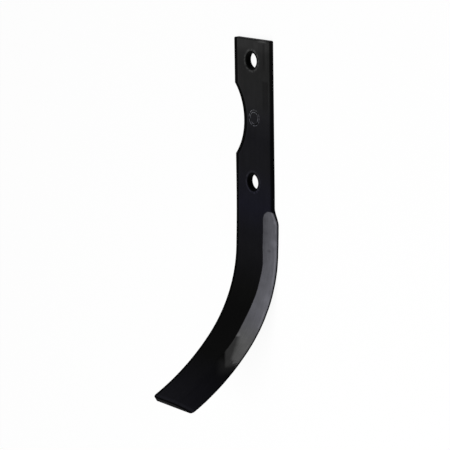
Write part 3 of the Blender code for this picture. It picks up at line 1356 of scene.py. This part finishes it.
@dataclass(frozen=True)
class BlackPaint:
    """Black paint with painted light and shade down its length: lightest at the top, darkest through
    the bend and lighter again toward the tip.

    Its tones are (place down the length, colour) pairs, and the tip's tone ends them.
    """

    length: float
    # Painted light and shade: these tones stand in for a sheen near the top and shade in the bend.
    painted_light_tones: tuple[tuple[float, Colour], ...] = (
        (0.0, grey(0.0260)),
        (5.0, grey(0.0248)),
        (9.0, grey(0.0168)),
        (20.0, grey(0.0150)),
        (42.0, grey(0.0143, 1.05)),
        (52.0, grey(0.0105, 1.15)),
        (64.0, grey(0.0069, 1.22)),
        (82.0, grey(0.0073, 1.18)),
        (110.0, grey(0.0068, 1.66)),
        (128.0, grey(0.0051, 1.30)),
        (142.0, grey(0.0048, 1.20)),
        (152.0, grey(0.0036, 1.15)),
        (166.0, grey(0.0026)),
        (178.0, grey(0.0018)),
        (215.0, grey(0.0020)),
        (236.0, grey(0.0040, 1.35)),
    )
    tip_tone: Colour = grey(0.0074, 1.35)
    least_shade: float = 0.60
    clouding: Cloud = Cloud(0.09, 3.0, 0.55)
    cloud_change: float = 0.46
    brushing: Brushing = Brushing(0.40, 0.022, 2.0)
    brush_change: float = 0.34
    streaks: tuple[Streak, ...] = (
        Streak(4.6, 2.6, 2.0, 17.0, 0.13),
        Streak(12.4, 1.4, 2.0, 22.0, -0.28),
        Streak(14.8, 0.9, 3.0, 27.0, 0.14),
        Streak(13.6, 3.3, 26.5, 50.0, -0.34),
    )

    def colour(self, skin: Skin) -> Value:
        """Work out the paint's colour.

        Args:
            skin: Values that the mesh carries.

        Returns:
            Colour of the paint, with painted shade on its edges and in its bores and groove, and
            painted highlights on its lips and just inside the rims of its ends.
        """
        places = [*self.painted_light_tones, (self.length, self.tip_tone)]
        stops = [(place / self.length, colour) for place, colour in places]
        tone = skin.shop.node("ShaderNodeValToRGB", {"stops": stops},
                              {"Fac": skin.along * (1.0 / self.length)})
        shade = (self.least_shade + self.clouding.share(skin) * self.cloud_change
                 + self.brushing.share(skin) * self.brush_change)
        for streak in self.streaks:
            shade = shade + streak.shade(skin)
        # Painted highlights and shade round the holes, the ring and the ends.
        marked = PunchedLightAndShade().factor(skin) + EndHighlights(self.length).change(skin)
        return skin.shop.scale_colour(tone, shade * PaintedEdgeShade(self.length).factor(skin) * marked)


@dataclass(frozen=True)
class ForgedSteel:
    """Dull forged steel with faint lengthwise streaks, lighter toward the cutting edge, with a
    painted highlight just inside that edge.

    Its lengthwise changes are (stretch down the length, change of shade) pairs: painted light and
    shade that make the steel lighter where the bevel turns into the bend, darker above and past it.
    """

    inner_tone: Colour = grey(0.081, 1.13)
    outer_tone: Colour = grey(0.097, 1.13)
    lower_tone: Colour = grey(0.090)
    outward: Fade = Fade(11.0, 1.0)
    lower: Fade = Fade(180.0, 203.0)
    least_shade: float = 0.70
    streaks: Brushing = Brushing(1.2, 0.10, 3.0)
    streak_change: float = 0.36
    clouding: Cloud = Cloud(0.16)
    cloud_change: float = 0.40
    # Painted highlight: a patchy lighter line just inside the cutting edge.
    edge_highlight: Band = Band(Fade(0.6, 1.2), Fade(2.4, 1.6))
    edge_highlight_clouding: Cloud = Cloud(0.13, 1.0)
    edge_highlight_patchy: Fade = Fade(0.34, 0.54)
    edge_highlight_end: Fade = Fade(210.0, 198.0)
    edge_highlight_change: float = 0.34
    inner_side: Fade = Fade(8.0, 10.0)
    inner_end: Fade = Fade(152.0, 146.0)
    inner_change: float = -0.11
    # Painted light and shade: lighter in the bend, darker above it and past it.
    lengthwise: tuple[tuple[Fade | Band, float], ...] = (
        (Band(Fade(165.0, 177.0), Fade(192.0, 176.0)), 0.12),
        (Fade(176.0, 126.0), -0.22),
        (Fade(138.0, 126.0), -0.09),
        (Fade(200.0, 208.0), -0.11),
    )
    scuffs: tuple[Scuff, ...] = (
        Scuff(8.6, 197.0, 2.2, 0.40),
        Scuff(18.4, 132.5, 4.6, 0.26),
        Scuff(15.2, 138.2, 1.8, -0.30),
        Scuff(19.0, 169.0, 4.2, 0.22),
        Scuff(19.2, 118.5, 1.8, 0.30),
    )

    def colour(self, skin: Skin) -> Value:
        """Work out the steel's colour.

        Args:
            skin: Values that the mesh carries.

        Returns:
            Colour of the steel.
        """
        shop = skin.shop
        tone = shop.mix_colours(self.outward.share(skin.to_edge), self.inner_tone, self.outer_tone)
        tone = shop.mix_colours(self.lower.share(skin.along), tone, self.lower_tone)
        edge_highlight = (self.edge_highlight.share(skin.to_edge) * self.edge_highlight_end.share(skin.along)
                 * self.edge_highlight_patchy.share(self.edge_highlight_clouding.share(skin)))
        inner = self.inner_side.share(skin.to_edge) * self.inner_end.share(skin.along)
        shade = (self.least_shade + self.streaks.share(skin) * self.streak_change
                 + self.clouding.share(skin) * self.cloud_change
                 + edge_highlight * self.edge_highlight_change + inner * self.inner_change)
        # Painted light and shade down the bevel.
        for stretch, change in self.lengthwise:
            shade = shade + stretch.share(skin.along) * change
        for scuff in self.scuffs:
            shade = shade + scuff.shade(skin)
        return shop.scale_colour(tone, shade)


@dataclass(frozen=True)
class WornBevel:
    """Where the paint is worn off the bevel, down to the ragged patch that ends the bare stretch.

    The bare steel ends first. A thin coat reaches a little past it, up to a bowed end, and a
    faint one further still.
    """

    unevenness: Cloud = Cloud(0.35)
    swing: float = 1.2
    inner_swing_share: float = 0.35
    front_only: Fade = Fade(0.86, 0.97)
    cleared: Fade = Fade(0.15, 0.80)
    painted_over: Band = Band(Fade(136.0, 149.0), Fade(160.0, 149.0))
    painted_over_width: float = 0.6
    rubbed_past: Fade = Fade(203.0, 212.0)
    rubbed_past_width: float = 0.8
    slant: Slant = Slant(8.0, 198.0, 0.35)
    slant_fade: Fade = Fade(-3.0, 4.6)
    slant_start: Fade = Fade(200.5, 197.0)
    flecks: Cloud = Cloud(1.1)
    fleck_swing: float = 9.0
    bare_end: Fade = Fade(218.4, 213.2)
    side: Slant = Slant(9.5, 215.0, 0.80)
    side_swing_share: float = 0.5
    bow_across: float = 10.0
    bow_along: float = 222.3
    bow_curve: float = 0.045
    thin_side: Fade = Fade(-0.6, 1.8)
    thin_end: Fade = Fade(-2.5, 3.5)
    thin_share: float = 0.34
    faint_side: Fade = Fade(-9.0, 0.0)
    faint_start: Fade = Fade(213.5, 219.5)
    faint_end: Fade = Fade(-9.0, 0.0)
    faint_share: float = 0.09

    def bare(self, skin: Skin) -> Value:
        """Work out how bare the steel is.

        Args:
            skin: Values that the mesh carries.

        Returns:
            1 on bare metal, 0 on paint, and between them where the paint is thin.
        """
        shop = skin.shop
        wobble = self.unevenness.swing(skin, self.swing)
        open_side = shop.larger(self.slant_fade.share(self.slant.past(skin) + wobble),
                                self.slant_start.share(skin.along))
        flecks = self.flecks.swing(skin, self.fleck_swing)
        bright = open_side * self.bare_end.share(skin.along + wobble + flecks)
        past_side = self.side.past(skin) + wobble * self.side_swing_share
        off_bow = skin.across - self.bow_across
        to_bow = self.bow_along - off_bow * off_bow * self.bow_curve + wobble - skin.along
        thin = self.thin_side.share(past_side) * self.thin_end.share(to_bow) * self.thin_share
        faint = (self.faint_side.share(past_side) * self.faint_start.share(skin.along)
                 * self.faint_end.share(to_bow) * self.faint_share)
        marked = shop.larger(shop.larger(bright, thin), faint)
        return marked * self.clear_of_paint(skin, wobble)

    def clear_of_paint(self, skin: Skin, wobble: Value) -> Value:
        """Keep the wear on the front face and inside the bevel's outline.

        Args:
            skin: Values that the mesh carries.
            wobble: Unevenness of the worn outline.

        Returns:
            1 inside the outline and 0 outside it.
        """
        inside = (skin.bevel + wobble * self.inner_swing_share
                  - self.painted_over.share(skin.along) * self.painted_over_width
                  + self.rubbed_past.share(skin.along) * self.rubbed_past_width)
        return self.cleared.share(inside) * self.front_only.share(skin.front)


@dataclass(frozen=True)
class PaintedSteel:
    """Black paint over forged steel: worn off the bevel, and duller at its rims and in the bores."""

    length: float
    paint_roughness: float = 0.46
    steel_roughness: float = 0.50
    grain: Cloud = Cloud(1.6, 3.0)
    grain_swing: float = 0.16
    dull_rim: Fade = Fade(0.9, 0.3)
    dull_below: Fade = Fade(20.0, 50.0)
    dull_bore: Fade = Fade(1.2, 0.7)
    dulling: float = 0.35
    specular: float = 0.010
    steel_metallic: float = 0.35
    relief: Cloud = Cloud(0.8, 4.0, 0.6)
    relief_share: float = 0.6
    steel_relief_share: float = 0.5
    fine_relief: Cloud = Cloud(4.5)
    fine_relief_share: float = 0.25
    bump_strength: float = 0.35
    bump_height: float = 0.06

    def make(self) -> bpy.types.Material:
        """Build the material.

        Returns:
            The finished material.
        """
        material = bpy.data.materials.new("black_paint_on_steel")
        material.use_nodes = True
        shop = NodeShop(material.node_tree)
        skin = Skin(shop)
        bare = WornBevel().bare(skin)
        colour = shop.mix_colours(bare, BlackPaint(self.length).colour(skin),
                                  ForgedSteel().colour(skin))
        shader = shop.node("ShaderNodeBsdfPrincipled", inputs={
            "Base Color": colour,
            "Roughness": self.roughness(skin, bare),
            "Metallic": bare * self.steel_metallic,
            "Specular IOR Level": self.specular,
            "Normal": self.surface(skin, bare),
        })
        shop.node("ShaderNodeOutputMaterial", inputs={"Surface": shader})
        return material

    def roughness(self, skin: Skin, bare: Value) -> Value:
        """Work out the roughness.

        Args:
            skin: Values that the mesh carries.
            bare: How bare the steel is.

        Returns:
            Roughness of paint or steel, higher at the lower rims and in the bores.
        """
        dull = self.dull_rim.share(skin.rim) * self.dull_below.share(skin.along)
        dull = skin.shop.larger(dull, self.dull_bore.share(skin.bore))
        return (self.paint_roughness + self.grain.swing(skin, self.grain_swing)
                + dull * self.dulling + bare * (self.steel_roughness - self.paint_roughness))

    def surface(self, skin: Skin, bare: Value) -> Value:
        """Roughen the paint finely, and the forged metal more coarsely.

        Args:
            skin: Values that the mesh carries.
            bare: How bare the steel is.

        Returns:
            Normal of the uneven surface.
        """
        relief = self.relief.share(skin)
        height = (relief * self.relief_share
                  + self.fine_relief.share(skin) * self.fine_relief_share
                  + bare * relief * self.steel_relief_share)
        return skin.shop.node("ShaderNodeBump", inputs={
            "Height": height, "Strength": self.bump_strength, "Distance": self.bump_height * MM})


def facing(back: Vector, tilt: float = 0.0) -> Quaternion:
    """Rotation of a lamp or camera that looks against a direction.

    Args:
        back: Direction from what it looks at toward it.
        tilt: Turn about its own line of sight, in radians.

    Returns:
        The rotation, with the blade's length upright in its view.
    """
    right = Vector((0.0, 1.0, 0.0)).cross(back).normalized()
    up = back.cross(right)
    tilted_right = right * math.cos(tilt) + up * math.sin(tilt)
    tilted_up = up * math.cos(tilt) - right * math.sin(tilt)
    return Matrix((tilted_right, tilted_up, back)).transposed().to_quaternion()


@dataclass(frozen=True)
class Lamp:
    """One soft lamp: where it is, what it looks at, its sides in metres and its power."""

    name: str
    place: tuple[float, float, float]
    sides: tuple[float, float]
    watts: float
    target: tuple[float, float, float] = (0.0, -0.06, 0.01)

    def make(self) -> None:
        """Hang the lamp."""
        light = bpy.data.lights.new(self.name, "AREA")
        light.shape = "RECTANGLE"
        light.size, light.size_y = self.sides
        light.energy = self.watts
        hung = bpy.data.objects.new(self.name, light)
        hung.location = self.place
        hung.rotation_mode = "QUATERNION"
        hung.rotation_quaternion = facing((Vector(self.place) - Vector(self.target)).normalized())
        bpy.context.collection.objects.link(hung)


@dataclass(frozen=True)
class PaperFloor:
    """White paper that the blade lies on and shadows softly.

    It shows as white, straight or mirrored, but throws little light back up.
    """

    radius: float = 3.0
    gap: float = 0.00005
    albedo: float = 0.90
    bounce: float = 0.22
    glow_share: float = 0.93
    segments: int = 96

    def make(self) -> bpy.types.Object:
        """Lay the floor just under the blade.

        Returns:
            The floor.
        """
        shape = bmesh.new()
        bmesh.ops.create_circle(shape, cap_ends=True, segments=self.segments,
                                radius=self.radius)
        mesh = bpy.data.meshes.new("paper_floor")
        shape.to_mesh(mesh)
        shape.free()
        mesh.materials.append(self.finish())
        floor = bpy.data.objects.new("paper_floor", mesh)
        floor.location.z = -self.gap
        bpy.context.collection.objects.link(floor)
        return floor

    def finish(self) -> bpy.types.Material:
        """Build the paper's material.

        Returns:
            The finished material.
        """
        material = bpy.data.materials.new("white_paper")
        material.use_nodes = True
        shop = NodeShop(material.node_tree)
        seen = shop.background_ray()
        colour = shop.mix_colours(seen, grey(self.bounce), grey(self.albedo))
        paper = shop.node("ShaderNodeBsdfDiffuse", inputs={"Color": colour})
        white = shop.node("ShaderNodeEmission", inputs={"Strength": 1.0})
        both = shop.node("ShaderNodeMixShader", inputs={
            0: seen * self.glow_share, 1: paper, 2: white})
        shop.node("ShaderNodeOutputMaterial", inputs={"Surface": both})
        return material


@dataclass(frozen=True)
class Studio:
    """Paper floor, soft lamps and a room that shows as white but gives only dim, even light."""

    room_level: float = 0.065
    floor: PaperFloor = PaperFloor()
    lamps: tuple[Lamp, ...] = (
        Lamp("overhead", (0.35, -0.45, 1.15), (0.9, 1.2), 17.5),
        Lamp("top_fill", (-0.10, 1.10, 0.60), (0.6, 0.4), 2.5),
        Lamp("tip_fill", (0.25, -1.30, 0.24), (0.8, 0.3), 5.0),
    )

    def make(self) -> None:
        """Lay the floor, hang the lamps and light the room."""
        self.floor.make()
        for lamp in self.lamps:
            lamp.make()
        world = bpy.data.worlds.new("room")
        world.use_nodes = True
        shop = NodeShop(world.node_tree)
        seen = shop.background_ray()
        room = shop.node("ShaderNodeBackground", inputs={
            "Color": (*grey(1.0), 1.0),
            "Strength": self.room_level + seen * (1.0 - self.room_level)})
        shop.node("ShaderNodeOutputWorld", inputs={"Surface": room})
        bpy.context.scene.world = world
        bpy.context.scene.view_settings.view_transform = "Standard"


@dataclass(frozen=True)
class Camera:
    """Camera at the photograph's viewing angle, found from the blade's outline."""

    turn: float = math.radians(51.42)
    height: float = math.radians(12.628)
    tilt: float = math.radians(-0.952)
    distance: float = 1.309745
    target: tuple[float, float, float] = (-0.005049, -0.066479, 0.024)
    focal_pixels: float = 2007.444

    def make(self) -> bpy.types.Object:
        """Set up the camera, with the blade's length upright in the picture.

        Returns:
            The camera.
        """
        back = Vector((math.sin(self.turn) * math.cos(self.height), math.sin(self.height),
                       math.cos(self.turn) * math.cos(self.height)))
        lens = bpy.data.cameras.new("camera")
        lens.sensor_width = SENSOR_WIDTH
        lens.lens = SENSOR_WIDTH * self.focal_pixels / PICTURE_SIDE
        camera = bpy.data.objects.new("camera", lens)
        camera.rotation_mode = "QUATERNION"
        camera.rotation_quaternion = facing(back, self.tilt)
        camera.location = Vector(self.target) + back * self.distance
        bpy.context.collection.objects.link(camera)
        bpy.context.scene.camera = camera
        return camera


def main() -> None:
    """Build the blade, then the studio and the camera round it."""
    form = Blade()
    blade = form.make_piece()
    blade.data.materials.append(PaintedSteel(form.roll.length).make())
    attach(blade, BODY)
    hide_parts(NODE)
    LOG.info("%s: %d faces", blade.name, len(blade.data.polygons))
    Studio().make()
    LOG.info("studio: floor and lamps")
    camera = Camera().make()
    LOG.info("%s: %.1f mm lens", camera.name, camera.data.lens)


if __name__ == "__main__":
    logging.basicConfig(level=logging.INFO)
    main()
